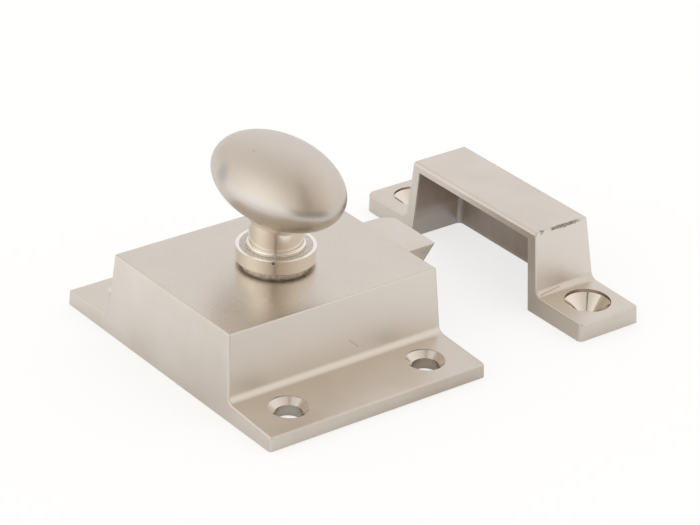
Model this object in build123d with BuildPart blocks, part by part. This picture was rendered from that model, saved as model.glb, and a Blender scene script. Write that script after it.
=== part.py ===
from build123d import *
import math
import os

# Cupboard catch latch: a cast case with a turning oval knob that draws back a sprung bolt,
# and the cast strike that the bolt shoots into. All sizes are in millimetres.
# The origin is where the knob's axis meets the door. +X is the way the bolt shoots,
# +Y runs along the flanges, and +Z points out of the door.

os.makedirs("parts", exist_ok=True)

# Case casting
case_width = 48.4  # along X at the back
case_length = 65.0  # along Y over the two flanges
case_height = 16.46
case_end_lean = 1.0  # how far each X face leans in at the top
box_top_length = 36.4  # raised box along Y at its top
box_foot_length = 38.8  # raised box along Y where the flanges start
flange_edge = 2.8  # flange thickness at its outer edge
flange_root = 3.55  # flange thickness where the box starts
root_radius = 1.4
corner_radius = 0.5
edge_radius = 0.35
top_wall = 2.1
side_wall = 2.3
end_wall = 2.5
cavity_corner = 2.0

# Countersunk screw holes in the flanges
case_hole_x = 15.42
case_hole_y = 25.94
case_hole_radius = 2.5
case_sink_radius = 3.75
case_sink_angle = 100.0

# Closing plate and its four screws
plate_thickness = 1.2
plate_recess = 0.4
plate_seat = 0.9  # ledge that the plate's rim rests on
plate_gap = 0.15
post_radius = 2.6
post_inset = 2.5  # post centre from the cavity's walls
screw_radius = 1.0
screw_head_radius = 1.9
screw_sink_angle = 90.0
screw_length = 5.2
screw_gap = 0.02
screw_slot_width = 0.5
screw_slot_depth = 0.5

# Knob, with its neck, bead and collar in one casting
egg_x = 19.7
egg_y = 32.16
egg_z = 15.52
egg_centre_z = 32.87
neck_radius = 5.12
neck_flare = 1.8
bead_outer = 5.5  # radius of the bead's outer edge
bead_round = 0.34
bead_height = 0.75  # bead's top above the groove
groove_depth = 0.1
collar_radius = 7.47
collar_height = 2.85
collar_round = 0.8
collar_foot_round = 0.3
washer_thickness = 0.5
washer_inset = 0.9
knob_lift = 0.26  # end play between collar and washer

# Spindle and cam
spindle_radius = 3.5
spindle_fit = 0.05
socket_depth = 6.0
socket_gap = 0.02
boss_radius = 5.3
boss_drop = 3.0
square_side = 4.5
square_gap = 0.03
thread_radius = 2.0
cam_play = 0.1
cam_thickness = 3.2
cam_base_radius = 4.0
cam_nose_radius = 1.2
cam_steps = 8
cam_washer_radius = 4.2
cam_washer_thickness = 0.5
nut_flats = 7.0
nut_height = 2.2
thread_end = 0.3

# Bolt and its travel
bolt_width = 14.1
bolt_thickness = 9.0
bolt_projection = 7.8  # tip from the case's X face at the back
bolt_travel = 7.0
knob_turn = 75.0  # degrees that draw the bolt all the way back
bevel_run = 7.0  # how far the underside's bevel goes back from the tip
tip_land = 0.35
tip_far_round = 3.3
tip_near_round = 0.7
slide_gap = 0.1
slot_gap = 0.15
frame_side_gap = 0.5
frame_drop = 0.3  # frame top below the boss
window_gap = 0.5
cam_face_gap = 0.05
cam_swing_gap = 0.35
bar_thickness = 4.25
window_corner = 1.2
stop_gap = 0.05
frame_corner = 0.9

# Spring and its guide pin
wire_radius = 0.25
coil_radius = 2.75  # to the middle of the wire
coil_turns = 7
spring_gap = 0.05
guide_radius = 1.9
guide_fit = 0.01
guide_set_back = 0.35
guide_end_gap = 1.0
spring_pocket_depth = 0.8
spring_pocket_gap = 0.3

# Strike casting
strike_x = 47.33  # its open face
strike_y = 0.8  # its middle, as the two castings lie side by side
strike_width = 14.7
strike_length = 66.2
strike_height = 16.55
strike_back_lean = 1.8
strike_top_length = 36.93
strike_foot_length = 39.94
foot_edge = 3.54
foot_root = 3.85
strike_top_wall = 1.75
strike_leg_wall = 2.2
strike_leg_foot = 2.5  # leg's wall at the back face
strike_back_wall = 2.25
lip_radius = 0.8  # top edge over the open face
strike_pocket_corner = 1.0
strike_root_radius = 1.4
strike_corner_radius = 0.9
strike_worn_corner = 2.0  # the far foot's corner on the bolt's side
strike_hole_y = 26.3
strike_hole_set = 7.5  # hole centre from the open face
strike_hole_radius = 1.8
strike_sink_radius = 4.45
strike_sink_angle = 90.0
strike_sink_rim = 0.6  # straight wall above the sink's cone

# Levels and places that follow from the sizes above
over = 2.0  # how far a cutting shape reaches past what it cuts
smooth_angle = 20.0  # degrees, under which two faces run on into each other
half_width = case_width / 2
ceiling = case_height - top_wall
plate_top = plate_recess + plate_thickness
bolt_top = ceiling - slide_gap
bolt_bottom = bolt_top - bolt_thickness
boss_bottom = ceiling - boss_drop
frame_top = boss_bottom - frame_drop
runner_bottom = plate_top + slot_gap
cam_top = boss_bottom - cam_play
cam_bottom = cam_top - cam_thickness
cam_washer_bottom = cam_bottom - cam_washer_thickness
nut_bottom = cam_washer_bottom - nut_height
spindle_bottom = nut_bottom - thread_end
washer_top = case_height + washer_thickness
knob_bottom = washer_top + knob_lift
egg_bottom = egg_centre_z - egg_z / 2


def end_face_x(z):
    """Half width of the case at a height."""
    return half_width - case_end_lean * z / case_height


def cavity_x(z):
    """Half width of the hollow at a height."""
    return end_face_x(z) - end_wall


def cavity_y(z):
    """Half length of the hollow at a height."""
    slope = (box_foot_length - box_top_length) / 2 / (case_height - flange_root)
    return box_top_length / 2 + slope * (case_height - z) - side_wall


def strike_wall_y(z):
    """Half length of the strike's raised part at a height."""
    slope = (strike_foot_length - strike_top_length) / 2 / (strike_height - foot_root)
    return strike_top_length / 2 + slope * (strike_height - z)


post_x = cavity_x(plate_top) - post_inset
post_y = cavity_y(plate_top) - post_inset
post_places = [(sx * post_x, sy * post_y) for sx in (-1, 1) for sy in (-1, 1)]

# The cam's working edge. A flat face pushed by it moves in step with the knob's angle:
# its distance from the axis grows by cam_rise for each radian of turn.
turn = math.radians(knob_turn)
cam_rise = bolt_travel / turn


def cam_edge(angle):
    """Point of the working edge whose outward normal stands at an angle, in radians."""
    reach = cam_base_radius + cam_rise * (math.pi - angle)
    across = cam_rise
    return (
        reach * math.cos(angle) + across * math.sin(angle),
        reach * math.sin(angle) - across * math.cos(angle),
    )


nose_angle = math.pi - turn
nose_start = cam_edge(nose_angle)
nose_x = nose_start[0] - cam_nose_radius * math.cos(nose_angle)
nose_y = nose_start[1] - cam_nose_radius * math.sin(nose_angle)
nose_distance = math.hypot(nose_x, nose_y)
nose_reach = nose_distance + cam_nose_radius
flank_angle = math.atan2(nose_y, nose_x) - math.acos(
    (cam_base_radius - cam_nose_radius) / nose_distance
)
flank_top = (
    nose_x + cam_nose_radius * math.cos(flank_angle),
    nose_y + cam_nose_radius * math.sin(flank_angle),
)
flank_foot = (
    cam_base_radius * math.cos(flank_angle),
    cam_base_radius * math.sin(flank_angle),
)
nose_middle_angle = (nose_angle + flank_angle) / 2
nose_middle = (
    nose_x + cam_nose_radius * math.cos(nose_middle_angle),
    nose_y + cam_nose_radius * math.sin(nose_middle_angle),
)

# The bolt's frame: its rear bar lies against the cam, its shoulders against the front posts
bar_front = -(cam_base_radius + cam_face_gap)
bar_back = bar_front - bar_thickness
window_front = boss_radius + bolt_travel + window_gap
window_half = nose_reach + cam_swing_gap
shoulder_x = post_x - post_radius - stop_gap
frame_half = cavity_y(frame_top) - frame_side_gap
tip_x = half_width + bolt_projection
bar_middle_z = (bolt_bottom + frame_top) / 2
pocket_x = -(cavity_x(bar_middle_z) + spring_pocket_depth)
spring_start = pocket_x + spring_gap
spring_end = bar_back - spring_gap


def hat(length, foot_length, top_length, height, edge, root):
    """Corners of a raised box between two flanges, seen from the end."""
    right = [(foot_length / 2, root), (length / 2, edge), (length / 2, 0)]
    left = [(-y, z) for y, z in reversed(right)]
    return left + [(-top_length / 2, height), (top_length / 2, height)] + right


def roots(section, foot_length, root):
    """The two inner corners of such a section, where the box meets the flanges."""
    corners = section.vertices()
    return [v for v in corners if abs(abs(v.X) - foot_length / 2) + abs(v.Y - root) < 1e-3]


def sharp_edges(casting):
    """Edges above a casting's back face where two of its faces meet at a real corner."""
    found = []
    for edge in casting.edges():
        faces = [f for f in casting.faces() if any(edge.is_same(e) for e in f.edges())]
        normals = [f.normal_at(edge @ 0.5) for f in faces]
        clear_of_back = edge.bounding_box().min.Z > edge_radius / 10
        if clear_of_back and normals[0].get_angle(normals[1]) > smooth_angle:
            found.append(edge)
    return found


def end_uprights(casting, length, middle):
    """The upright corners at both ends of a casting's flanges, the far one on the -X side last."""
    ends = [e for e in casting.edges() if abs(e.center().Y - middle) > length / 2 - edge_radius]
    upright = ShapeList(e for e in ends if (e % 0.5).Z ** 2 > 0.5)
    return upright.sort_by(lambda e: e.center().Y - e.center().X)


def bevel_corners(blade):
    """The slanting edges at the two sides of the blade's bevel, in order along Y."""
    tall = [e for e in blade.edges() if e.bounding_box().size.Z > bolt_thickness / 2]
    return ShapeList(e for e in tall if e.bounding_box().max.X > tip_x - edge_radius).sort_by(Axis.Y)


# Case: one hollow casting, open at the back, with a boss for the spindle
# and a post in each corner for the closing plate's screws
with BuildPart() as case:
    with BuildSketch(Plane.YZ) as case_section:
        with BuildLine():
            Polyline(
                *hat(
                    case_length,
                    box_foot_length,
                    box_top_length,
                    case_height,
                    flange_edge,
                    flange_root,
                ),
                close=True,
            )
        make_face()
        fillet(roots(case_section, box_foot_length, flange_root), radius=root_radius)
    extrude(amount=half_width + over, both=True)
    with BuildSketch(Plane.XZ):
        with BuildLine():
            Polyline(
                (-half_width, 0),
                (half_width, 0),
                (end_face_x(case_height), case_height),
                (-end_face_x(case_height), case_height),
                close=True,
            )
        make_face()
    extrude(amount=case_length, both=True, mode=Mode.INTERSECT)
    fillet(end_uprights(case, case_length, 0), radius=corner_radius)
    fillet(sharp_edges(case), radius=edge_radius)
    with BuildSketch(Plane.XY) as cavity_foot:
        RectangleRounded(2 * cavity_x(0), 2 * cavity_y(0), cavity_corner)
    with BuildSketch(Plane.XY.offset(ceiling)) as cavity_top:
        RectangleRounded(2 * cavity_x(ceiling), 2 * cavity_y(ceiling), cavity_corner)
    loft(mode=Mode.SUBTRACT)
    with BuildSketch(Plane.XY.offset(plate_top)):
        with Locations(*post_places):
            Circle(post_radius)
    extrude(amount=ceiling - plate_top + top_wall / 2)
    with BuildSketch(Plane.XY.offset(boss_bottom)):
        Circle(boss_radius)
    extrude(amount=boss_drop + top_wall / 2)
    with BuildSketch(Plane.XY.offset(boss_bottom - over)):
        Circle(spindle_radius + spindle_fit)
    extrude(amount=case_height, mode=Mode.SUBTRACT)
    with BuildSketch(Plane.XY):
        RectangleRounded(
            2 * (cavity_x(plate_top) + plate_seat),
            2 * (cavity_y(plate_top) + plate_seat),
            cavity_corner + plate_seat,
        )
    extrude(amount=plate_top, mode=Mode.SUBTRACT)
    with BuildSketch(Plane.YZ.offset(cavity_x(ceiling) - over)):
        with Locations((0, (bolt_bottom - slot_gap + ceiling) / 2)):
            Rectangle(bolt_width + 2 * slot_gap, ceiling - bolt_bottom + slot_gap)
    extrude(amount=end_wall + 2 * over, mode=Mode.SUBTRACT)
    with BuildSketch(Plane.YZ.offset(pocket_x)):
        with Locations((0, bar_middle_z)):
            Circle(coil_radius + wire_radius + spring_pocket_gap)
    extrude(amount=spring_pocket_depth + over, mode=Mode.SUBTRACT)
    with Locations(Plane.XY.offset(plate_top)):
        with Locations(*[Location((x, y, 0), (180, 0, 0)) for x, y in post_places]):
            Hole(screw_radius + screw_gap, depth=screw_length)
    hole_top = flange_root + (flange_edge - flange_root) * (
        case_hole_y - box_foot_length / 2
    ) / ((case_length - box_foot_length) / 2)
    with Locations(Plane.XY.offset(hole_top)):
        with GridLocations(2 * case_hole_x, 2 * case_hole_y, 2, 2):
            CounterSinkHole(
                radius=case_hole_radius,
                counter_sink_radius=case_sink_radius,
                depth=case_height,
                counter_sink_angle=case_sink_angle,
            )
case.part.label = "case"
export_step(case.part, "parts/case.step")

# Closing plate: thin sheet let into the back of the case, with a sunk hole at each corner
with BuildPart() as back_plate:
    with BuildSketch(Plane.XY.offset(plate_recess)):
        RectangleRounded(
            2 * (cavity_x(plate_top) + plate_seat - plate_gap),
            2 * (cavity_y(plate_top) + plate_seat - plate_gap),
            cavity_corner + plate_seat - plate_gap,
        )
    extrude(amount=plate_thickness)
    with Locations(*[Location((x, y, plate_recess), (180, 0, 0)) for x, y in post_places]):
        CounterSinkHole(
            radius=screw_radius + 2 * screw_gap,
            counter_sink_radius=screw_head_radius + screw_gap,
            depth=case_height,
            counter_sink_angle=screw_sink_angle,
        )
back_plate.part.label = "back_plate"
export_step(back_plate.part, "parts/back_plate.step")

# Plate screws: four small slotted countersunk screws
for number, (x, y) in enumerate(post_places, start=1):
    head_height = (screw_head_radius - screw_radius) / math.tan(
        math.radians(screw_sink_angle / 2)
    )
    with BuildPart() as plate_screw:
        with BuildSketch(Plane.XZ.offset(-y)):
            with BuildLine():
                Polyline(
                    (x, plate_recess),
                    (x + screw_head_radius, plate_recess),
                    (x + screw_radius, plate_recess + head_height),
                    (x + screw_radius, plate_recess + screw_length - screw_radius / 2),
                    (x + screw_radius / 2, plate_recess + screw_length),
                    (x, plate_recess + screw_length),
                    close=True,
                )
            make_face()
        revolve(axis=Axis((x, y, 0), (0, 0, 1)))
        with BuildSketch(Plane.XY.offset(plate_recess)):
            with Locations((x, y)):
                Rectangle(2 * screw_head_radius + over, screw_slot_width)
        extrude(amount=screw_slot_depth, mode=Mode.SUBTRACT)
    plate_screw.part.label = f"plate_screw_{number}"
    export_step(plate_screw.part, f"parts/plate_screw_{number}.step")

# Knob washer: a thin ring that keeps the collar off the case
with BuildPart() as knob_washer:
    with BuildSketch(Plane.XY.offset(case_height)):
        Circle(collar_radius - washer_inset)
        Circle(spindle_radius + spindle_fit, mode=Mode.SUBTRACT)
    extrude(amount=washer_thickness)
knob_washer.part.label = "knob_washer"
export_step(knob_washer.part, "parts/knob_washer.step")

# Knob: a flattened oval on a round neck, which ends in a bead, a groove and a wide collar
oval = Pos(0, 0, egg_centre_z) * scale(Sphere(0.5), by=(egg_x, egg_y, egg_z))
collar_top = knob_bottom + collar_height
bead_top = collar_top - groove_depth + bead_height
with BuildPart() as knob:
    with BuildSketch(Plane.XZ) as collar_section:
        with BuildLine():
            Polyline(
                (0, knob_bottom),
                (collar_radius, knob_bottom),
                (collar_radius, collar_top),
                (bead_outer, collar_top - groove_depth),
                (bead_outer, bead_top),
                (neck_radius, bead_top),
                (neck_radius, egg_centre_z),
                (0, egg_centre_z),
                close=True,
            )
        make_face()
        rim = collar_section.vertices().group_by(Axis.X)[-1]
        fillet(rim.sort_by(Axis.Y)[0], radius=collar_foot_round)
        fillet(rim.sort_by(Axis.Y)[-1], radius=collar_round)
        crest = collar_section.vertices().sort_by_distance((bead_outer, bead_top, 0))[0]
        fillet(crest, radius=bead_round)
    revolve(axis=Axis.Z)
    add(oval)
    junction = [
        e
        for e in knob.edges()
        if egg_bottom < (e @ 0.25).Z < egg_centre_z - egg_z / 4
        and abs(math.hypot((e @ 0.25).X, (e @ 0.25).Y) - neck_radius) < 0.02
        and e.geom_type != GeomType.LINE
    ]
    fillet(junction, radius=neck_flare)
    with BuildSketch(Plane.XY.offset(knob_bottom)):
        Circle(spindle_radius + socket_gap)
    extrude(amount=socket_depth, mode=Mode.SUBTRACT)
knob.part.label = "knob"
export_step(knob.part, "parts/knob.step")

# Spindle: round where it runs in the case and enters the knob, square for the cam, threaded below
with BuildPart() as spindle:
    with BuildSketch(Plane.XY.offset(cam_top)):
        Circle(spindle_radius)
    extrude(amount=knob_bottom + socket_depth - cam_top - socket_gap)
    with BuildSketch(Plane.XY.offset(cam_bottom)):
        Rectangle(square_side, square_side)
    extrude(amount=cam_thickness)
    with BuildSketch(Plane.XY.offset(spindle_bottom)):
        Circle(thread_radius)
    extrude(amount=cam_bottom - spindle_bottom)
    chamfer(spindle.edges().group_by(Axis.Z)[-1], length=edge_radius)
    chamfer(spindle.edges().group_by(Axis.Z)[0], length=edge_radius)
spindle.part.label = "spindle"
export_step(spindle.part, "parts/spindle.step")

# Cam: one nose whose working edge pushes the bolt back evenly as the knob turns
with BuildPart() as cam:
    with BuildSketch(Plane.XY.offset(cam_bottom)):
        with BuildLine():
            Line((-cam_base_radius, 0), cam_edge(math.pi))
            Spline(*[cam_edge(math.pi - turn * i / cam_steps) for i in range(cam_steps + 1)])
            ThreePointArc(nose_start, nose_middle, flank_top)
            Line(flank_top, flank_foot)
            ThreePointArc(flank_foot, (0, -cam_base_radius), (-cam_base_radius, 0))
        make_face()
        Rectangle(square_side + 2 * square_gap, square_side + 2 * square_gap, mode=Mode.SUBTRACT)
    extrude(amount=cam_thickness)
cam.part.label = "cam"
export_step(cam.part, "parts/cam.step")

# Cam washer and spindle nut: they hold the cam on its square
with BuildPart() as cam_washer:
    with BuildSketch(Plane.XY.offset(cam_washer_bottom)):
        Circle(cam_washer_radius)
        Circle(thread_radius + square_gap, mode=Mode.SUBTRACT)
    extrude(amount=cam_washer_thickness)
cam_washer.part.label = "cam_washer"
export_step(cam_washer.part, "parts/cam_washer.step")

with BuildPart() as spindle_nut:
    with BuildSketch(Plane.XY.offset(nut_bottom)):
        RegularPolygon(nut_flats / 2, 6, major_radius=False)
        Circle(thread_radius + screw_gap, mode=Mode.SUBTRACT)
    extrude(amount=nut_height)
spindle_nut.part.label = "spindle_nut"
export_step(spindle_nut.part, "parts/spindle_nut.step")

# Bolt: a blade with a bevelled underside, cast in one with the frame that the cam works in
with BuildPart() as bolt:
    with BuildSketch(Plane.XY.offset(bolt_bottom)):
        with Locations(((bar_back + shoulder_x) / 2, 0)):
            Rectangle(shoulder_x - bar_back, 2 * frame_half)
    extrude(amount=frame_top - bolt_bottom)
    with BuildSketch(Plane.XY.offset(runner_bottom)):
        with Locations(((bar_back + shoulder_x) / 2, 0)):
            Rectangle(shoulder_x - bar_back, 2 * frame_half)
    extrude(amount=bolt_bottom - runner_bottom)
    with BuildSketch(Plane.XY.offset(runner_bottom)):
        with Locations(((bar_back + shoulder_x) / 2, 0)):
            Rectangle(shoulder_x - bar_back + over, 2 * window_half)
    extrude(amount=bolt_bottom - runner_bottom, mode=Mode.SUBTRACT)
    with BuildSketch(Plane.XY.offset(runner_bottom)):
        with Locations(((bar_front + window_front) / 2, 0)):
            RectangleRounded(window_front - bar_front, 2 * window_half, window_corner)
    extrude(amount=frame_top - runner_bottom + over, mode=Mode.SUBTRACT)
    fillet(bolt.edges().filter_by(Axis.Z).group_by(Axis.X)[0], radius=frame_corner)
    with BuildSketch(Plane.XZ):
        with BuildLine():
            Polyline(
                (window_front, bolt_bottom),
                (tip_x - bevel_run, bolt_bottom),
                (tip_x, bolt_top - tip_land),
                (tip_x, bolt_top),
                (window_front, bolt_top),
                close=True,
            )
        make_face()
    extrude(amount=bolt_width / 2, both=True)
    fillet(bevel_corners(bolt)[-1], radius=tip_far_round)
    fillet(bevel_corners(bolt)[0], radius=tip_near_round)
    with BuildSketch(Plane.YZ.offset(bar_back - over)):
        with Locations((0, bar_middle_z)):
            Circle(guide_radius + guide_fit)
    extrude(amount=bar_thickness + 2 * over, mode=Mode.SUBTRACT)
bolt.part.label = "bolt"
export_step(bolt.part, "parts/bolt.step")

# Spring guide: a pin fixed in the bolt's rear bar, which keeps the spring straight
with BuildPart() as spring_guide:
    guide_start = pocket_x + bolt_travel + guide_end_gap
    with BuildSketch(Plane.YZ.offset(guide_start)):
        with Locations((0, bar_middle_z)):
            Circle(guide_radius)
    extrude(amount=bar_front - guide_set_back - guide_start)
    chamfer(spring_guide.edges().group_by(Axis.X)[0], length=edge_radius)
spring_guide.part.label = "spring_guide"
export_step(spring_guide.part, "parts/spring_guide.step")

# Bolt spring: a coil between the case's end wall and the bolt, its ends ground flat
with BuildPart() as bolt_spring:
    spring_length = spring_end - spring_start
    coil = Helix(
        pitch=spring_length / coil_turns,
        height=spring_length,
        radius=coil_radius,
        center=(spring_start, 0, bar_middle_z),
        direction=(1, 0, 0),
    )
    with BuildSketch(Plane(origin=coil @ 0, z_dir=coil % 0)):
        Circle(wire_radius)
    sweep(path=coil, is_frenet=True)
    with BuildSketch(Plane.YZ.offset(spring_start)):
        with Locations((0, bar_middle_z)):
            Circle(coil_radius + 2 * wire_radius)
    extrude(amount=spring_length, mode=Mode.INTERSECT)
bolt_spring.part.label = "bolt_spring"
export_step(bolt_spring.part, "parts/bolt_spring.step")

# Strike: a casting like half the case, open towards the bolt, with a sunk hole in each foot
with BuildPart() as strike:
    with BuildSketch(Plane((strike_x, strike_y, 0), (0, 1, 0), (1, 0, 0))) as strike_section:
        with BuildLine():
            Polyline(
                *hat(
                    strike_length,
                    strike_foot_length,
                    strike_top_length,
                    strike_height,
                    foot_edge,
                    foot_root,
                ),
                close=True,
            )
        make_face()
        fillet(roots(strike_section, strike_foot_length, foot_root), radius=strike_root_radius)
    extrude(amount=strike_width)
    with BuildSketch(Plane.XZ):
        with BuildLine():
            Polyline(
                (strike_x, 0),
                (strike_x + strike_width, 0),
                (strike_x + strike_width - strike_back_lean, strike_height),
                (strike_x, strike_height),
                close=True,
            )
        make_face()
    extrude(amount=strike_length, both=True, mode=Mode.INTERSECT)
    uprights = end_uprights(strike, strike_length, strike_y)
    fillet(uprights[:-1], radius=strike_corner_radius)
    uprights = end_uprights(strike, strike_length, strike_y)
    fillet(uprights[-1], radius=strike_worn_corner)
    lip = strike.edges().filter_by(Axis.Y).group_by(Axis.X)[0].sort_by(Axis.Z)[-1]
    fillet(lip, radius=lip_radius)
    fillet(sharp_edges(strike), radius=edge_radius)
    for z, leg in ((0, strike_leg_foot), (strike_height - strike_top_wall, strike_leg_wall)):
        back = strike_x + strike_width - strike_back_wall - strike_back_lean * z / strike_height
        half = strike_wall_y(z) - leg
        with BuildSketch(Plane((0, strike_y, z))) as pocket_outline:
            with BuildLine():
                Polyline(
                    (strike_x - over, -half),
                    (back, -half),
                    (back, half),
                    (strike_x - over, half),
                    close=True,
                )
            make_face()
            back_corners = pocket_outline.vertices().group_by(Axis.X)[-1]
            fillet(back_corners, radius=strike_pocket_corner)
    loft(mode=Mode.SUBTRACT)
    foot_top = foot_root + (foot_edge - foot_root) * (strike_hole_y - strike_foot_length / 2) / (
        (strike_length - strike_foot_length) / 2
    )
    with Locations(Plane.XY.offset(foot_top - strike_sink_rim)):
        with Locations((strike_x + strike_hole_set, strike_y)):
            with GridLocations(0, 2 * strike_hole_y, 1, 2):
                CounterSinkHole(
                    radius=strike_hole_radius,
                    counter_sink_radius=strike_sink_radius,
                    depth=strike_height,
                    counter_sink_angle=strike_sink_angle,
                )
strike.part.label = "strike"
export_step(strike.part, "parts/strike.step")
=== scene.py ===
import math

import bpy
from mathutils import Matrix, Vector


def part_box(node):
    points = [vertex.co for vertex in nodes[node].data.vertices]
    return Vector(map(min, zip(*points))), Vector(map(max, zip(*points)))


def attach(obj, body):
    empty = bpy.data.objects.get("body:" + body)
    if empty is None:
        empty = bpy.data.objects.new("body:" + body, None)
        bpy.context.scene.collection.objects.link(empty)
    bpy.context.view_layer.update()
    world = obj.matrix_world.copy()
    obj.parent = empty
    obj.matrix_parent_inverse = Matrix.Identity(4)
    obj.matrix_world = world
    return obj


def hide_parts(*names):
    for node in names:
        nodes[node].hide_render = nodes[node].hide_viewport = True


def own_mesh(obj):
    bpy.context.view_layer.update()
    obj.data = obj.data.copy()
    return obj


# Cupboard catch latch: a satin nickel case with an oval knob and a sprung bolt, and its strike.
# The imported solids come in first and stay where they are. The scene is in metres, and the metal
# pieces' materials count in millimetres.
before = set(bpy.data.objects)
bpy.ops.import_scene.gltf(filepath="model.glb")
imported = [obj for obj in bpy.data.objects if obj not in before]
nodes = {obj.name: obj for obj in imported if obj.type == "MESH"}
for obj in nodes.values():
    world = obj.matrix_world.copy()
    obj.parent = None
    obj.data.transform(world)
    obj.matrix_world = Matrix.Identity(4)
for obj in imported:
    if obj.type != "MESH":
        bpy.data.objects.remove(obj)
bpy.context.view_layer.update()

# Camera: stands where the photograph was taken from, in front of the case's lower left corner.
# Its place, its axes and its lens were solved from the corners of the case and the strike.
picture_width = 700
focal_pixels = 3078.7
sensor_width = 36.0
nearest_seen = 0.01
farthest_seen = 30.0
camera_distance = 0.571346
aim = Vector((0.014967, -0.0030166, 0.0132126))
to_right = Vector((0.79653007, -0.60332098, 0.03928916))
to_top = Vector((0.25240791, 0.39088236, 0.88515605))
to_camera = Vector((-0.54939066, -0.69513651, 0.46363254))
lens = bpy.data.cameras.new("camera")
lens.sensor_width = sensor_width
lens.lens = focal_pixels / picture_width * sensor_width
lens.clip_start = nearest_seen
lens.clip_end = farthest_seen
camera = bpy.data.objects.new("camera", lens)
turned = Matrix((to_right, to_top, to_camera)).transposed().to_4x4()
camera.matrix_world = Matrix.Translation(aim + camera_distance * to_camera) @ turned
bpy.context.scene.collection.objects.link(camera)
bpy.context.scene.camera = camera
bpy.context.scene.view_settings.view_transform = "Standard"

# Floor: a sheet of white card under the latch. The camera sees it paler, almost white, with a faint
# shadow. In the metal it shows a painted glow, brightest on the softbox's side. The glow is left out
# close round the latch and in front of it, and the card in front is painted darker: painted shade.
floor_half = 3.0
floor_drop = 0.0001
card_colour = (0.86, 0.87, 0.88, 1.0)
card_painted_shade = (0.46, 0.45, 0.43, 1.0)
card_seen = (0.35, 0.35, 0.35, 1.0)
card_roughness = 0.9
fibres_per_metre = 900.0
camera_glow = 0.72
camera_tint = (1.0, 1.0, 1.0, 1.0)
painted_metal_glow = 0.20
painted_left_glow = 0.40
metal_tint = (0.90, 0.98, 1.12, 1.0)
middle_x = 0.02
middle_y = -0.01
squeeze_x = 0.7
to_softbox = (-0.97, 0.24)
to_front = (-0.5, -0.866)

# Each pair says where a mask starts and where it is full: a distance from the middle of the
# latch in metres, or how closely a direction has to point the mask's way, from 0 to 1.
left_distance = (0.03, 0.11)
left_way = (0.55, 0.9)
front_distance = (0.050, 0.070)
front_way = (0.70, 0.93)
painted_shade_reach = (0.018, 0.038)


class Shade:
    """A node's socket that takes part in plain sums: each sum adds a Math node."""

    def __init__(self, tree, socket=None):
        self.tree = tree
        self.socket = socket

    def node(self, kind, settings=None, values=None):
        """Adds a node of any type, with its settings and socket values, and gives its first output."""
        made = self.tree.nodes.new(kind)
        for name, value in (settings or {}).items():
            setattr(made, name, value)
        for name, value in (values or {}).items():
            if isinstance(value, Shade):
                self.tree.links.new(value.socket, made.inputs[name])
            else:
                made.inputs[name].default_value = value
        return Shade(self.tree, made.outputs[0] if made.outputs else None)

    def out(self, name):
        """Another output of the node that this socket belongs to."""
        return Shade(self.tree, self.socket.node.outputs[name])

    def sum(self, operation, first, second=0.0):
        """One Math node, with any operation."""
        return self.node("ShaderNodeMath", {"operation": operation}, {0: first, 1: second})

    def __add__(self, other):
        return self.sum("ADD", self, other)

    def __sub__(self, other):
        return self.sum("SUBTRACT", self, other)

    def __rsub__(self, other):
        return self.sum("SUBTRACT", other, self)

    def __mul__(self, other):
        return self.sum("MULTIPLY", self, other)

    def __truediv__(self, other):
        return self.sum("DIVIDE", self, other)

    def __pow__(self, other):
        return self.sum("POWER", self, other)

    def __abs__(self):
        return self.sum("ABSOLUTE", self)

    __radd__ = __add__
    __rmul__ = __mul__

    def greater(self, other):
        """The greater of this value and the other."""
        return self.sum("MAXIMUM", self, other)

    def lesser(self, other):
        """The lesser of this value and the other."""
        return self.sum("MINIMUM", self, other)

    def diagonal(self, other):
        """How far apart two points are that lie this length and the other apart, at right angles."""
        return (self * self + other * other) ** 0.5

    def rise(self, low, high):
        """0 below low and 1 above high, with a smooth slope between. high may be the lower one."""
        ends = {"Value": self, "From Min": low, "From Max": high}
        return self.node("ShaderNodeMapRange", {"interpolation_type": "SMOOTHSTEP"}, ends)

    def blend(self, first, second):
        """Goes from the first colour to the second as this value goes from 0 to 1."""
        ends = {"Factor": self, 6: first, 7: second}
        return self.node("ShaderNodeMix", {"data_type": "RGBA"}, ends).out(2)

    def scaled(self, factors):
        """This vector with each of its three parts multiplied by its own factor."""
        return self.node("ShaderNodeVectorMath", {"operation": "MULTIPLY"}, {0: self, 1: factors})

    def along(self, direction):
        """How far this vector points in a direction."""
        ends = {0: self, 1: direction}
        return self.node("ShaderNodeVectorMath", {"operation": "DOT_PRODUCT"}, ends).out("Value")

    def grain(self, scale, detail=2.0, roughness=0.5):
        """Smooth random grain at this place. scale is how many grains go in a unit."""
        values = {"Vector": self, "Scale": scale, "Detail": detail, "Roughness": roughness}
        return self.node("ShaderNodeTexNoise", None, values)


card = bpy.data.materials.new("floor_card")
card.use_nodes = True
card.node_tree.nodes.clear()
shade = Shade(card.node_tree)
ray = shade.node("ShaderNodeLightPath")
seen = ray.out("Is Camera Ray")
in_metal = ray.out("Is Glossy Ray").greater(ray.out("Is Transmission Ray"))
spot = shade.node("ShaderNodeTexCoord").out("Object")
parts = shade.node("ShaderNodeSeparateXYZ", None, {0: spot})
across = (parts.out("X") - middle_x) * squeeze_x
along = parts.out("Y") - middle_y
distance = across.diagonal(along)


def way(direction):
    """1 where the card lies in this direction from the middle of the latch, 0 square to it."""
    return (across * direction[0] + along * direction[1]) / distance


# Masks of the card's painted glow towards the softbox, and of its painted shade near and in front.
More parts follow.
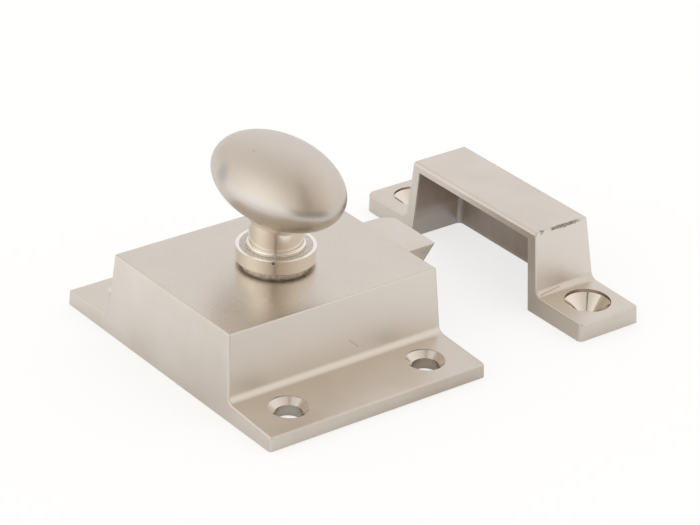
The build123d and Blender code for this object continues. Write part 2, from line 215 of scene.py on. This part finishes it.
painted_light_at_left = distance.rise(*left_distance) * way(to_softbox).rise(*left_way)
painted_shade_in_front = distance.rise(*front_distance) * way(to_front).rise(*front_way)
clear_of_painted_shade = distance.rise(*painted_shade_reach)
paper = seen.blend(painted_shade_in_front.blend(card_colour, card_painted_shade), card_seen)
fibrous = card_roughness + 0.06 * spot.grain(fibres_per_metre, detail=3.0)
matt = {"Base Color": paper, "Roughness": fibrous, "Specular IOR Level": 0.1}
painted_glow_in_metal = (1.0 - painted_shade_in_front) * clear_of_painted_shade * painted_metal_glow + painted_light_at_left * painted_left_glow
strength = seen * camera_glow + in_metal * painted_glow_in_metal
tint = seen.blend(metal_tint, camera_tint)
surface = shade.node("ShaderNodeBsdfPrincipled", None, matt)
glow = shade.node("ShaderNodeEmission", None, {"Color": tint, "Strength": strength})
lit = shade.node("ShaderNodeAddShader", None, {0: surface, 1: glow})
shade.node("ShaderNodeOutputMaterial", None, {"Surface": lit})
sheet = bpy.data.meshes.new("floor_card")
quarters = ((-1, -1), (1, -1), (1, 1), (-1, 1))
corners = [(side_x * floor_half, side_y * floor_half, -floor_drop) for side_x, side_y in quarters]
sheet.from_pydata(corners, [], [(0, 1, 2, 3)])
sheet.materials.append(card)
floor = bpy.data.objects.new("floor_card", sheet)
bpy.context.scene.collection.objects.link(floor)

# Studio: a dim room with a few large soft walls of light. The brightest is a softbox on the left,
# which draws the highlight on the knob. The room is darker behind the camera, and a narrow unlit
# gap there draws the dark stripe down the knob's neck and collar.
room_colour = (0.66, 0.59, 0.52, 1.0)
behind_camera = (0.56, 0.47, 0.39, 1.0)
behind_tightness = 12.0
gap_colour = (0.10, 0.08, 0.06, 1.0)
gap_depth = 0.8
gap_width = (0.08, 0.04)
gap_side = (0.4, 0.6)
across_gap = (0.785, -0.620, 0.0)
background_white = (1.0, 1.0, 1.0, 1.0)
room = bpy.data.worlds.new("studio")
bpy.context.scene.world = room
room.use_nodes = True
room.node_tree.nodes.clear()
shade = Shade(room.node_tree)
look = shade.node("ShaderNodeTexCoord").out("Generated")
camera_side = look.along(to_camera)
dim = (camera_side.greater(0.0) ** behind_tightness).blend(room_colour, behind_camera)
gap = abs(look.along(across_gap)).rise(*gap_width) * camera_side.rise(*gap_side)
dim = (gap * gap_depth).blend(dim, gap_colour)
light = shade.node("ShaderNodeBackground", None, {"Color": dim, "Strength": 1.0})


def soft_wall(light, azimuth, height, tightness, colour):
    """Adds light from round one direction, in degrees. A higher tightness makes a smaller patch."""
    flat = math.cos(math.radians(height))
    east = flat * math.cos(math.radians(azimuth))
    north = flat * math.sin(math.radians(azimuth))
    patch = look.along((east, north, math.sin(math.radians(height)))).greater(0.0) ** tightness
    wall = shade.node("ShaderNodeBackground", None, {"Color": colour, "Strength": patch})
    return shade.node("ShaderNodeAddShader", None, {0: light, 1: wall})


# As the camera sees them: the softbox on the left, a bluish wall straight behind the latch, a
# weaker one on the right, and a fill from high up behind on the left.
light = soft_wall(light, azimuth=166.0, height=2.0, tightness=3.0, colour=(0.60, 0.64, 0.67, 1.0))
light = soft_wall(light, azimuth=45.0, height=18.0, tightness=3.0, colour=(0.25, 0.30, 0.39, 1.0))
light = soft_wall(light, azimuth=325.0, height=25.0, tightness=3.0, colour=(0.28, 0.30, 0.32, 1.0))
light = soft_wall(light, azimuth=110.0, height=50.0, tightness=2.0, colour=(0.12, 0.14, 0.16, 1.0))
white = shade.node("ShaderNodeBackground", None, {"Color": background_white, "Strength": 1.0})
camera_ray = shade.node("ShaderNodeLightPath").out("Is Camera Ray")
both = shade.node("ShaderNodeMixShader", None, {0: camera_ray, 1: light, 2: white})
shade.node("ShaderNodeOutputWorld", None, {"Surface": both})

# Case: one hollow brass casting with a screw flange at each end. It was linished along its
# length, blasted soft, plated with nickel, and its edges and sinks came out brighter.
nickel_light = (0.740, 0.690, 0.625, 1.0)
nickel_dark = (0.675, 0.615, 0.540, 1.0)
nickel_edge_and_painted_light = (0.830, 0.785, 0.725, 1.0)
nickel_relief = 8e-6
pore_brown = (0.30, 0.26, 0.21, 1.0)
bore_painted_shade = (0.58, 0.53, 0.47, 1.0)
crack_brown = (0.33, 0.28, 0.23, 1.0)
mm_per_metre = 1000.0
hole_x = 15.42
hole_y = 25.94
crack_width = 0.16
branch_width = 0.14

# The ends of the crack, as of the strike's seam, are points of the wall: x and then z. Every other
# pair of sizes, here and later, says where a mask starts and where it is full.
crack_start = (2.95, 7.93)
crack_end = (4.8, 6.03)
branch_end = (3.54, 6.69)
sink_radius = (4.0, 3.85)
bore_radius = (2.75, 2.6)
top_height = (15.5, 16.0)
above_flange = (2.9, 3.5)


class Finish(Shade):
    """A material for one of the latch's pieces, with its place in millimetres."""

    def __init__(self, name):
        self.material = bpy.data.materials.new(name)
        self.material.use_nodes = True
        self.material.node_tree.nodes.clear()
        super().__init__(self.material.node_tree)
        spot = self.node("ShaderNodeTexCoord")
        self.place = spot.out("Object").scaled((mm_per_metre, mm_per_metre, mm_per_metre))
        parts = self.node("ShaderNodeSeparateXYZ", None, {0: self.place})
        self.x = parts.out("X")
        self.y = parts.out("Y")
        self.z = parts.out("Z")
        facing = self.node("ShaderNodeSeparateXYZ", None, {0: spot.out("Normal")})
        self.face_x = abs(facing.out("X"))
        self.face_y = abs(facing.out("Y"))
        self.face_z = abs(facing.out("Z"))

    def corner(self):
        """1 on rounded edges, roots and sinks, 0 on the flat faces."""
        return self.face_x.greater(self.face_y).greater(self.face_z).rise(0.985, 0.9)

    def streaks(self, each_way, detail=2.0, roughness=0.5):
        """Stretched random grain: each_way is how many grains go in a millimetre of X, Y and Z."""
        return self.place.scaled(each_way).grain(1.0, detail, roughness)

    def pores(self, scale, share):
        """Small round casting pores, about scale of them in a millimetre, of which a share is open."""
        cells = self.node("ShaderNodeTexVoronoi", None, {"Vector": self.place, "Scale": scale})
        chance = self.node("ShaderNodeSeparateColor", None, {0: cells.out("Color")})
        return cells.out("Distance").rise(0.24, 0.1) * chance.rise(1.0 - share, 1.02 - share)

    def line(self, across, upward, start, end, width):
        """1 within width of a straight scratch between two points of a plane, with a ragged edge."""
        run = (end[0] - start[0], end[1] - start[1])
        length = math.hypot(*run)
        from_start = (across - start[0], upward - start[1])
        part = from_start[0] * (run[0] / length**2) + from_start[1] * (run[1] / length**2)
        part = part.greater(0.0).lesser(1.0)
        off = (from_start[0] - part * run[0], from_start[1] - part * run[1])
        ragged = off[0].diagonal(off[1]) + (self.place.grain(3.0) - 0.5) * width
        return ragged.rise(width, width * 0.4)

    def metal(self, colour, roughness, height, depth):
        """Ends the material: a bare metal with this colour, roughness and relief in metres."""
        relief = self.node("ShaderNodeBump", None, {"Height": height, "Distance": depth, "Strength": 1.0})
        values = {"Base Color": colour, "Metallic": 1.0, "Roughness": roughness, "Normal": relief}
        surface = self.node("ShaderNodeBsdfPrincipled", None, values)
        self.node("ShaderNodeOutputMaterial", None, {"Surface": surface})
        return self.material


def satin(finish, rough):
    """Satin nickel over a brushed casting: its colour, roughness and relief."""
    cloud = finish.place.grain(0.11)
    speck = finish.place.grain(2.2, detail=3.0, roughness=0.6)
    lengthways = finish.streaks((0.5, 7.0, 7.0), detail=3.0, roughness=0.6)
    endways = finish.streaks((7.0, 0.5, 7.0), detail=3.0, roughness=0.6)
    on_end = finish.face_x.rise(0.5, 0.8)
    brush = lengthways * (1.0 - on_end) + endways * on_end
    pore = finish.pores(scale=0.9, share=0.012)
    edge = finish.corner()
    body = (cloud * 0.7 + speck * 0.2 + brush * 0.25).rise(0.3, 0.85).blend(nickel_dark, nickel_light)
    worn = (edge * 0.12).blend(body, nickel_edge_and_painted_light)
    colour = (pore * 0.35).blend(worn, pore_brown)
    roughness = rough + (cloud - 0.5) * 0.08 + (brush - 0.5) * 0.12 + (speck - 0.5) * 0.06 - edge * 0.04
    relief = brush * 0.25 + speck * 0.3 + cloud * 6.0 - pore * 1.0
    return colour, roughness, relief


case_finish = Finish("case_satin_nickel")
colour, roughness, relief = satin(case_finish, rough=0.36)
from_hole = (abs(case_finish.x) - hole_x).diagonal(abs(case_finish.y) - hole_y)
sink = from_hole.rise(*sink_radius) * case_finish.face_z.rise(0.95, 0.85)
bore = from_hole.rise(*bore_radius) * case_finish.face_z.rise(0.5, 0.3)
colour = (sink * 0.6).blend(colour, nickel_edge_and_painted_light)
# The bores are painted a darker brown: painted shade inside the holes.
colour = (bore * 0.8).blend(colour, bore_painted_shade)
# The top face is smoother, and its colour is painted darker by half: painted shade.
smooth_top_and_painted_shade = case_finish.face_z.rise(0.95, 0.99) * case_finish.z.rise(*top_height)
roughness = roughness - sink * 0.08 - smooth_top_and_painted_shade * 0.07
relief = relief * (1.0 - smooth_top_and_painted_shade * 0.8)
colour = (smooth_top_and_painted_shade * 0.5).blend(colour, nickel_dark)
# The side walls above the flange are painted lighter: painted light. They are a little rougher too.
side_walls_painted_light = case_finish.face_y.rise(0.25, 0.85) * case_finish.z.rise(*above_flange)
roughness = roughness + side_walls_painted_light * 0.06
colour = (side_walls_painted_light * 0.9).blend(colour, nickel_edge_and_painted_light)
wall = case_finish.face_y.rise(0.8, 0.95)
crack = case_finish.line(case_finish.x, case_finish.z, crack_start, crack_end, crack_width)
branch = case_finish.line(case_finish.x, case_finish.z, crack_start, branch_end, branch_width)
flaw = crack.greater(branch * 0.5) * wall
colour = (flaw * 0.35).blend(colour, crack_brown)
relief = relief - flaw * 2.0
nodes["case"].data.materials[0] = case_finish.metal(colour, roughness, relief, nickel_relief)

# Closing plate and its screws: zinc-plated steel sheet, punched, with four small turned screws.
# They show only when the case is off its door.
zinc_light = (0.62, 0.62, 0.60, 1.0)
zinc_dark = (0.44, 0.45, 0.46, 1.0)
zinc_relief = 6e-6
screw_light = (0.62, 0.62, 0.61, 1.0)
screw_dark = (0.42, 0.42, 0.43, 1.0)
turned_relief = 5e-6
plate_screws = 4
zinc_finish = Finish("zinc_plate")
spangle = zinc_finish.node("ShaderNodeTexVoronoi", None, {"Vector": zinc_finish.place, "Scale": 0.45})
tone = zinc_finish.node("ShaderNodeSeparateColor", None, {0: spangle.out("Color")})
rolled = zinc_finish.streaks((0.3, 6.0, 6.0), detail=3.0)
colour = (tone * 0.4 + rolled * 0.5).blend(zinc_dark, zinc_light)
roughness = 0.34 + (rolled - 0.5) * 0.15 + tone * 0.06
relief = rolled * 0.5 + tone * 0.3
nodes["back_plate"].data.materials[0] = zinc_finish.metal(colour, roughness, relief, zinc_relief)


def turned_steel(name, light, dark):
    """Zinc-plated turned steel, with fine rings left by the tool."""
    finish = Finish(name)
    rings = finish.streaks((1.0, 1.0, 14.0))
    speck = finish.place.grain(5.0, detail=3.0)
    colour = (rings * 0.6 + speck * 0.5).blend(dark, light)
    roughness = 0.28 + rings * 0.12 + speck * 0.08
    return finish.metal(colour, roughness, rings * 0.6 + speck * 0.4, turned_relief)


screw_steel = turned_steel("screw_steel", screw_light, screw_dark)
for number in range(1, plate_screws + 1):
    nodes[f"plate_screw_{number}"].data.materials[0] = screw_steel

# Spindle, cam, washer and nut: they turn with the knob inside the case. The spindle, washer and
# nut are zinc-plated steel. The cam is raw brass, bright where it rubs on the bolt.
spindle_light = (0.60, 0.60, 0.58, 1.0)
spindle_dark = (0.40, 0.40, 0.40, 1.0)
brass_light = (0.80, 0.62, 0.32, 1.0)
brass_dark = (0.48, 0.33, 0.13, 1.0)
brass_relief = 2e-5
spindle_steel = turned_steel("spindle_steel", spindle_light, spindle_dark)
for name in ("spindle", "cam_washer", "spindle_nut"):
    nodes[name].data.materials[0] = spindle_steel
cam_finish = Finish("cam_brass")
cast = cam_finish.place.grain(1.6, detail=4.0, roughness=0.6)
rubbed = cam_finish.face_z.rise(0.5, 0.2)
colour = (cast * 0.7 + rubbed * 0.3).blend(brass_dark, brass_light)
roughness = 0.42 + cast * 0.12 - rubbed * 0.2
relief = cast - cast * rubbed
nodes["cam"].data.materials[0] = cam_finish.metal(colour, roughness, relief, brass_relief)

# Bolt: brass cast in one with its frame, plated like the case. Its top is polished by rubbing
# under the case, and its sides keep a few pits of the casting. The guide pin is steel.
pit_brown = (0.30, 0.26, 0.23, 1.0)
side_brown = (0.52, 0.47, 0.41, 1.0)
pitted_height = (12.4, 13.2)
pitted_length = (27.5, 28.8)
bolt_finish = Finish("bolt_satin_nickel")
colour, roughness, relief = satin(bolt_finish, rough=0.30)
side = bolt_finish.face_y.rise(0.8, 0.95)
pitted = (bolt_finish.streaks((2.6, 2.6, 1.5)) - 0.5) * 2.0
near_tip = bolt_finish.x.rise(*pitted_length)
pits = pitted.rise(0.12, 0.3) * side * bolt_finish.z.rise(*pitted_height) * near_tip
tooling = bolt_finish.streaks((5.0, 1.0, 0.35))
colour = (pits * 0.55).blend(colour, pit_brown)
colour = (side * 0.35).blend(colour, side_brown)
roughness = roughness + side * (tooling * 0.2)
relief = relief + side * tooling * 1.5 - pits * 3.0
nodes["bolt"].data.materials[0] = bolt_finish.metal(colour, roughness, relief, nickel_relief)
nodes["spring_guide"].data.materials[0] = spindle_steel

# Bolt spring: hard-drawn steel wire, oil-black, wound with a closed turn at each end that is
# ground flat. It sits between the case's end wall and the bolt, round the guide pin, and the
# bolt presses it shorter as it draws back.
spring_low, spring_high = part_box("bolt_spring")
spring_length = spring_high[0] - spring_low[0]
spring_middle = (spring_low[2] + spring_high[2]) / 2
wire_radius = 0.00025
wire_sides = 12
wire_relief = 4e-6
wire_light = (0.42, 0.40, 0.38, 1.0)
wire_dark = (0.16, 0.15, 0.14, 1.0)
spring_turns = 9.0
spring_steps = 300
wire_finish = Finish("spring_wire")
drawn = wire_finish.place.grain(4.0, detail=3.0)
colour = drawn.blend(wire_dark, wire_light)
spring_wire = wire_finish.metal(colour, 0.3 + drawn * 0.2, drawn, wire_relief)


def winding(material):
    """The tree that winds wire along X from its start, and grinds both ends flat."""
    tree = bpy.data.node_groups.new("spring_winding", "GeometryNodeTree")
    for name, kind in (
        ("Start", "NodeSocketVector"),
        ("Length", "NodeSocketFloat"),
        ("Coil Radius", "NodeSocketFloat"),
        ("Wire Radius", "NodeSocketFloat"),
        ("Wire Sides", "NodeSocketInt"),
        ("Turns", "NodeSocketFloat"),
        ("Steps", "NodeSocketInt"),
    ):
        tree.interface.new_socket(name, in_out="INPUT", socket_type=kind)
    tree.interface.new_socket("Spring", in_out="OUTPUT", socket_type="NodeSocketGeometry")
    wire = Shade(tree)
    given = wire.node("NodeGroupInput")
    length, turns, thickness = given.out("Length"), given.out("Turns"), given.out("Wire Radius")
    path = wire.node("GeometryNodeCurvePrimitiveLine", None, {"End": (1.0, 0.0, 0.0)})
    path = wire.node("GeometryNodeResampleCurve", None, {"Curve": path, "Count": given.out("Steps")})
    turn = wire.node("GeometryNodeSplineParameter").out("Factor") * turns
    closed_pitch = thickness * 2.0
    open_pitch = (length - closed_pitch * 2.0) / (turns - 2.0)
    closed_turns = turn.lesser(1.0) + (turn - turns + 1.0).greater(0.0)
    open_turns = (turn - 1.0).greater(0.0).lesser(turns - 2.0)
    angle = turn * math.tau
    on_coil = {
        0: closed_turns * closed_pitch + open_turns * open_pitch,
        1: angle.sum("COSINE", angle) * given.out("Coil Radius"),
        2: angle.sum("SINE", angle) * given.out("Coil Radius"),
    }
    coil = wire.node("ShaderNodeCombineXYZ", None, on_coil)
    path = wire.node("GeometryNodeSetPosition", None, {"Geometry": path, "Position": coil})
    round_wire = {"Resolution": given.out("Wire Sides"), "Radius": thickness}
    section = wire.node("GeometryNodeCurvePrimitiveCircle", None, round_wire)
    swept = {"Curve": path, "Profile Curve": section, "Fill Caps": True}
    spring = wire.node("GeometryNodeCurveToMesh", None, swept)
    here = wire.node("ShaderNodeSeparateXYZ", None, {0: wire.node("GeometryNodeInputPosition")})
    ground = {0: here.out("X").greater(0.0).lesser(length), 1: here.out("Y"), 2: here.out("Z")}
    flat_ends = wire.node("ShaderNodeCombineXYZ", None, ground)
    spring = wire.node("GeometryNodeSetPosition", None, {"Geometry": spring, "Position": flat_ends})
    spring = wire.node("GeometryNodeSetPosition", None, {"Geometry": spring, "Offset": given.out("Start")})
    spring = wire.node("GeometryNodeSetShadeSmooth", None, {"Geometry": spring, "Shade Smooth": True})
    spring = wire.node("GeometryNodeRealizeInstances", None, {"Geometry": spring})
    spring = wire.node("GeometryNodeSetMaterial", None, {"Geometry": spring, "Material": material})
    wire.node("NodeGroupOutput", None, {"Spring": spring})
    return tree


spring_sizes = {
    "Start": (spring_low[0], 0.0, spring_middle),
    "Length": spring_length,
    "Coil Radius": (spring_high[2] - spring_low[2]) / 2 - wire_radius,
    "Wire Radius": wire_radius,
    "Wire Sides": wire_sides,
    "Turns": spring_turns,
    "Steps": spring_steps,
}
blank = bpy.data.objects.new("spring_blank", bpy.data.meshes.new("spring_blank"))
bpy.context.scene.collection.objects.link(blank)
wind = blank.modifiers.new("wind", "NODES")
wind.node_group = winding(spring_wire)
for socket in wind.node_group.interface.items_tree:
    if socket.in_out == "INPUT":
        wind[socket.identifier] = spring_sizes[socket.name]
wound = bpy.data.meshes.new_from_object(blank.evaluated_get(bpy.context.evaluated_depsgraph_get()))
bpy.data.objects.remove(blank)
spring = bpy.data.objects.new("bolt_spring_wire", wound)
bpy.context.scene.collection.objects.link(spring)
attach(spring, "case")
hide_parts("bolt_spring")
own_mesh(spring)

# Knob and washer: the knob is one brass casting, turned below and linished over the oval, and the
# washer is a thin brass ring. Both are plated satin. The floor of the groove between the knob's
# bead and collar was never smoothed and stays rough.
knob_light = (0.685, 0.635, 0.570, 1.0)
knob_dark = (0.625, 0.565, 0.495, 1.0)
turned_painted_sheen = (0.94, 0.895, 0.82, 1.0)
groove_brown = (0.30, 0.25, 0.20, 1.0)
painted_reflection_grey = (0.36, 0.36, 0.36, 1.0)
dent_brown = (0.12, 0.09, 0.07, 1.0)
dot_brown = (0.33, 0.29, 0.25, 1.0)
dent_place = (-4.79, -5.73, 19.75)
dent_radius = (0.42, 0.25)
dot_place = (-4.84, 1.1, 39.61)
dot_radius = (0.34, 0.12)
painted_reflection_place = (-9.09, 4.68, 34.83)
painted_reflection_radius = (3.2, 0.4)
knob_bottom = 17.22
collar_height = 2.85
groove_floor = knob_bottom + collar_height - 0.1
groove_height = (groove_floor + 0.25, groove_floor + 0.1)
bead_radius = (5.4, 5.55)
collar_radius = (6.95, 6.7)
neck_height = (25.0, 27.5)
knob_finish = Finish("knob_satin_nickel")
radius = knob_finish.x.diagonal(knob_finish.y)
cloud = knob_finish.place.grain(0.09)
speck = knob_finish.place.grain(2.6, detail=3.0, roughness=0.6)
on_lathe = knob_finish.node("ShaderNodeCombineXYZ", None, {0: radius, 2: knob_finish.z})
rings = on_lathe.grain(9.0)
above_neck = knob_finish.z.rise(*neck_height)
turned_with_painted_sheen = 1.0 - above_neck
stroke = knob_finish.streaks((6.0, 0.45, 6.0), detail=3.0, roughness=0.6)
brush = rings * turned_with_painted_sheen + stroke * above_neck
in_groove = radius.rise(*bead_radius) * radius.rise(*collar_radius) * knob_finish.z.rise(*groove_height)
rough_cast = knob_finish.place.grain(3.6, detail=4.0, roughness=0.7)
colour = (cloud * 0.6 + speck * 0.2 + brush * 0.3).rise(0.3, 0.85).blend(knob_dark, knob_light)
# The turned part is painted far lighter than the oval: a painted sheen over its turned finish.
colour = (turned_with_painted_sheen * 0.9).blend(colour, turned_painted_sheen)
colour = (in_groove * rough_cast.rise(0.6, 0.4) * 0.7).blend(colour, groove_brown)
roughness = 0.33 + (cloud - 0.5) * 0.08 + (brush - 0.5) * 0.1 + in_groove * 0.2 - turned_with_painted_sheen * 0.19
relief = brush * 0.25 + speck * 0.25 + cloud * 5.0 + in_groove * rough_cast * 14.0


def mark(middle, radius, unevenness):
    """1 at the middle of a small mark and 0 past its uneven edge."""
    ends = {0: knob_finish.place, 1: middle}
    gap = knob_finish.node("ShaderNodeVectorMath", {"operation": "DISTANCE"}, ends).out("Value")
    return (gap + unevenness).rise(*radius)


dent = mark(dent_place, dent_radius, (rough_cast - 0.5) * 0.5)
dot = mark(dot_place, dot_radius, (rough_cast - 0.5) * 0.4)
# A painted reflection: a faint dark grey patch on the oval.
painted_reflection = mark(painted_reflection_place, painted_reflection_radius, (cloud - 0.5) * 1.5)
colour = (painted_reflection * 0.55).blend(colour, painted_reflection_grey)
colour = (dent * 0.8).blend(colour, dent_brown)
colour = (dot * 0.4).blend(colour, dot_brown)
relief = relief - dent * 20.0 - dot * 3.0
knob_nickel = knob_finish.metal(colour, roughness, relief, nickel_relief)
for name in ("knob", "knob_washer"):
    nodes[name].data.materials[0] = knob_nickel

# Strike: cast like the case, open on the bolt's side. Its sinks are turned bright, its pocket is
# dull with painted shade, and one top edge is chipped. A short seam of the mould shows low on that side.
pocket_painted_shade_light = (0.60, 0.52, 0.44, 1.0)
pocket_painted_shade_dark = (0.46, 0.38, 0.31, 1.0)
sink_bright = (0.86, 0.81, 0.74, 1.0)
rim_raw_and_painted_shade = (0.42, 0.32, 0.27, 1.0)
chip_brown = (0.22, 0.18, 0.15, 1.0)
seam_brown = (0.30, 0.26, 0.22, 1.0)
strike_middle = 0.8
strike_half = 18.46
strike_height = 16.5
strike_hole_x = 54.83
strike_hole_y = 26.3
seam_start = (48.1, 4.1)
seam_end = (53.0, 4.4)
seam_width = 0.1
seam_side = (-18.2, -18.8)
above_foot = (4.5, 5.5)
pocket_half = (17.6, 17.2)
pocket_roof = (15.3, 15.0)
pocket_back = (60.0, 59.6)
pocket_mouth = (47.4, 47.9)
strike_sink_radius = (4.7, 4.55)
rim_radius = (3.6, 4.0)
chip_radius = (0.42, 0.3)
long_chip_start = (50.9, 51.6)
long_chip_end = (59.4, 56.5)
short_chip_start = (48.5, 48.8)
short_chip_end = (49.7, 49.1)
strike_finish = Finish("strike_satin_nickel")
colour, roughness, relief = satin(strike_finish, rough=0.34)
from_middle = strike_finish.y - strike_middle
# The strike's side walls above its foot are painted lighter: painted light.
side_walls_painted_light = strike_finish.face_y.rise(0.25, 0.85) * strike_finish.z.rise(*above_foot)
colour = (side_walls_painted_light * 0.7).blend(colour, nickel_edge_and_painted_light)
within_x = strike_finish.x.rise(*pocket_back) * strike_finish.x.rise(*pocket_mouth)
within_y = abs(from_middle).rise(*pocket_half)
within_z = strike_finish.z.rise(*pocket_roof)
pocket = within_x * within_y * within_z
# The pocket is painted dark as painted shade under the roof, with streaks of the casting through it.
streaked_painted_shade = strike_finish.streaks((0.5, 0.5, 0.05)).blend(pocket_painted_shade_dark, pocket_painted_shade_light)
colour = (pocket * 0.85).blend(colour, streaked_painted_shade)
roughness = roughness + pocket * 0.1
from_hole = (strike_finish.x - strike_hole_x).diagonal(abs(from_middle) - strike_hole_y)
inside = from_hole.rise(*strike_sink_radius)
cone = inside * strike_finish.face_z.rise(0.92, 0.82)
rim = inside * from_hole.rise(*rim_radius) * strike_finish.face_z.rise(0.6, 0.4)
colour = (cone * 0.9).blend(colour, sink_bright)
# The straight rim above each cone is raw brass, painted darker still: painted shade.
colour = (rim * 0.85).blend(colour, rim_raw_and_painted_shade)
roughness = roughness - (cone - rim * 0.6) * 0.21
from_edge = (from_middle + strike_half).diagonal(strike_finish.z - strike_height)
chipping = strike_finish.streaks((1.1, 2.6, 2.6), detail=3.0, roughness=0.7)
fleck = strike_finish.streaks((2.2, 5.0, 5.0), detail=3.0, roughness=0.7)
long_chip = strike_finish.x.rise(*long_chip_start) * strike_finish.x.rise(*long_chip_end)
short_chip = strike_finish.x.rise(*short_chip_start) * strike_finish.x.rise(*short_chip_end)
chip = (long_chip + short_chip) * (from_edge + (chipping - 0.5) * 1.3).rise(*chip_radius)
chip = chip * fleck.rise(0.40, 0.50)
seam = strike_finish.line(strike_finish.x, strike_finish.z, seam_start, seam_end, seam_width)
seam = seam * strike_finish.y.rise(*seam_side)
colour = (chip * 0.85).blend(colour, chip_brown)
colour = (seam * 0.5).blend(colour, seam_brown)
relief = relief - chip * 12.0 - seam * 4.0
nodes["strike"].data.materials[0] = strike_finish.metal(colour, roughness, relief, nickel_relief)
